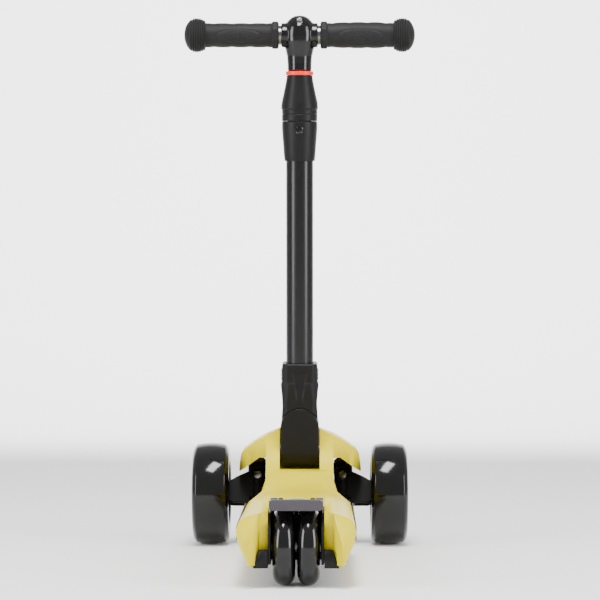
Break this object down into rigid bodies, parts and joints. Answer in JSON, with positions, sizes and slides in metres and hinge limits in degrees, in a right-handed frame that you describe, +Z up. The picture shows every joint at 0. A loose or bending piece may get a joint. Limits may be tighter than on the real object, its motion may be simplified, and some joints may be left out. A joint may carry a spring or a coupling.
{
  "type": "three-wheel kick scooter",
  "caption": "Folding child's kick scooter with wide lean-steered front wheels, twin rear wheels under a foot brake, a moulded deck and a telescopic T-bar.",
  "frame": {"origin": "on the ground, at the middle of the scooter's length and width", "axes": "+Z up, +Y towards the front of the scooter, +X to the rider's right"},
  "size_m": [0.266, 0.545, 0.6171],
  "materials": {
    "yellow_shell": "satin moulded",
    "black_plastic": "fine grained",
    "gloss_black": "glossy",
    "grey_plastic": "fine grained",
    "red_plastic": "glossy",
    "black_paint": "satin powder coat",
    "zinc_steel": "zinc plated",
    "dark_steel": "black oxide",
    "aluminium_tube": "brushed",
    "wheel_pu": "glossy polyurethane",
    "grip_rubber": "soft matte",
    "buffer_rubber": "matte",
    "nylon": "natural"
  },
  "bodies": {
    "deck": {"deck_shell": "yellow_shell", "deck_base": "black_plastic", "deck_screws": "zinc_steel", "side_trims": "black_plastic", "rear_frame": "black_plastic", "rear_axle": "zinc_steel", "rear_axle_nuts": "zinc_steel", "rear_spacers": "zinc_steel", "brake_hinge_pin": "zinc_steel", "brake_spring": "zinc_steel", "hinge_base": "dark_steel", "hinge_bolts": "zinc_steel", "hinge_pin": "zinc_steel", "steering_beam": "black_plastic", "beam_bolts": "zinc_steel", "kingpins": "dark_steel", "kingpin_nuts": "zinc_steel", "centring_buffers": "buffer_rubber"},
    "knuckle_left": {"knuckle_left": "black_plastic", "knuckle_screw_left": "zinc_steel", "front_axle_left": "zinc_steel"},
    "knuckle_right": {"knuckle_right": "black_plastic", "knuckle_screw_right": "zinc_steel", "front_axle_right": "zinc_steel"},
    "tie_rod": {"tie_rod": "black_plastic", "tie_rod_pins": "zinc_steel"},
    "front_wheel_left": {"front_tyre_left": "wheel_pu", "front_core_left": "black_plastic", "front_bearings_left": "zinc_steel", "front_cap_left": "gloss_black"},
    "front_wheel_right": {"front_tyre_right": "wheel_pu", "front_core_right": "black_plastic", "front_bearings_right": "zinc_steel", "front_cap_right": "gloss_black"},
    "rear_wheel_left": {"rear_tyre_left": "wheel_pu", "rear_core_left": "black_plastic", "rear_bearings_left": "zinc_steel"},
    "rear_wheel_right": {"rear_tyre_right": "wheel_pu", "rear_core_right": "black_plastic", "rear_bearings_right": "zinc_steel"},
    "brake": {"brake_pedal": "grey_plastic", "brake_pad": "buffer_rubber"},
    "stem": {"stem_bracket": "black_plastic", "bracket_screws": "zinc_steel", "main_tube": "black_paint", "lower_collar": "black_plastic"},
    "release": {"release_sleeve": "black_plastic", "fold_latch": "zinc_steel"},
    "height_button": {"height_button": "gloss_black"},
    "tbar": {"inner_tube": "black_paint", "tube_bush": "nylon", "upper_collar": "black_plastic", "accent_ring": "red_plastic", "t_head": "gloss_black", "t_head_screw": "zinc_steel", "handle_tubes": "aluminium_tube", "grip_left": "grip_rubber", "grip_right": "grip_rubber"},
    "snap_left": {"snap_button_left": "black_plastic"},
    "snap_right": {"snap_button_right": "black_plastic"}
  },
  "joints": [
    {"name": "steer_left", "type": "hinge", "parent": "deck", "child": "knuckle_left", "pos_m": [-0.05, 0.2125, 0.06], "axis": [0, 0.342, 0.9397], "range_deg": [-12, 12], "stiffness_Nm_per_rad": 3},
    {"name": "steer_right", "type": "hinge", "parent": "deck", "child": "knuckle_right", "pos_m": [0.05, 0.2125, 0.06], "axis": [0, 0.342, 0.9397], "range_deg": [-12, 12], "stiffness_Nm_per_rad": 3},
    {"name": "tie_rod_slide", "type": "slide", "parent": "deck", "child": "tie_rod", "axis": [1, 0, 0], "range_m": [-0.0053, 0.0053]},
    {"name": "front_spin_left", "type": "hinge", "parent": "knuckle_left", "child": "front_wheel_left", "pos_m": [-0.105, 0.2125, 0.06], "axis": [1, 0, 0], "continuous": true},
    {"name": "front_spin_right", "type": "hinge", "parent": "knuckle_right", "child": "front_wheel_right", "pos_m": [0.105, 0.2125, 0.06], "axis": [1, 0, 0], "continuous": true},
    {"name": "rear_spin_left", "type": "hinge", "parent": "deck", "child": "rear_wheel_left", "pos_m": [-0.0125, -0.2275, 0.04], "axis": [1, 0, 0], "continuous": true},
    {"name": "rear_spin_right", "type": "hinge", "parent": "deck", "child": "rear_wheel_right", "pos_m": [0.0125, -0.2275, 0.04], "axis": [1, 0, 0], "continuous": true},
    {"name": "brake_press", "type": "hinge", "parent": "deck", "child": "brake", "pos_m": [0, -0.181, 0.08], "axis": [1, 0, 0], "range_deg": [0, 2.5], "stiffness_Nm_per_rad": 8, "springref_deg": -2.86},
    {"name": "fold", "type": "hinge", "parent": "deck", "child": "stem", "pos_m": [0, 0.1605, 0.1155], "axis": [1, 0, 0], "range_deg": [0, 86]},
    {"name": "release_lift", "type": "slide", "parent": "stem", "child": "release", "axis": [0, -0.0698, 0.9976], "range_m": [0, 0.008], "stiffness_N_per_m": 600, "springref_m": -0.004},
    {"name": "height", "type": "slide", "parent": "stem", "child": "tbar", "axis": [0, -0.0698, 0.9976], "range_m": [0, 0.24]},
    {"name": "height_press", "type": "slide", "parent": "stem", "child": "height_button", "axis": [0, 0.9976, 0.0698], "range_m": [0, 0.002], "stiffness_N_per_m": 400, "springref_m": -0.001},
    {"name": "snap_press_left", "type": "slide", "parent": "tbar", "child": "snap_left", "axis": [0, 0.6157, 0.788], "range_m": [0, 0.003], "stiffness_N_per_m": 400, "springref_m": -0.001},
    {"name": "snap_press_right", "type": "slide", "parent": "tbar", "child": "snap_right", "axis": [0, 0.6157, 0.788], "range_m": [0, 0.003], "stiffness_N_per_m": 400, "springref_m": -0.001}
  ],
  "couplings": [
    {"joint": "steer_right", "follows": "steer_left", "ratio": 1},
    {"joint": "tie_rod_slide", "follows": "steer_left", "m_per_rad": -0.024}
  ]
}
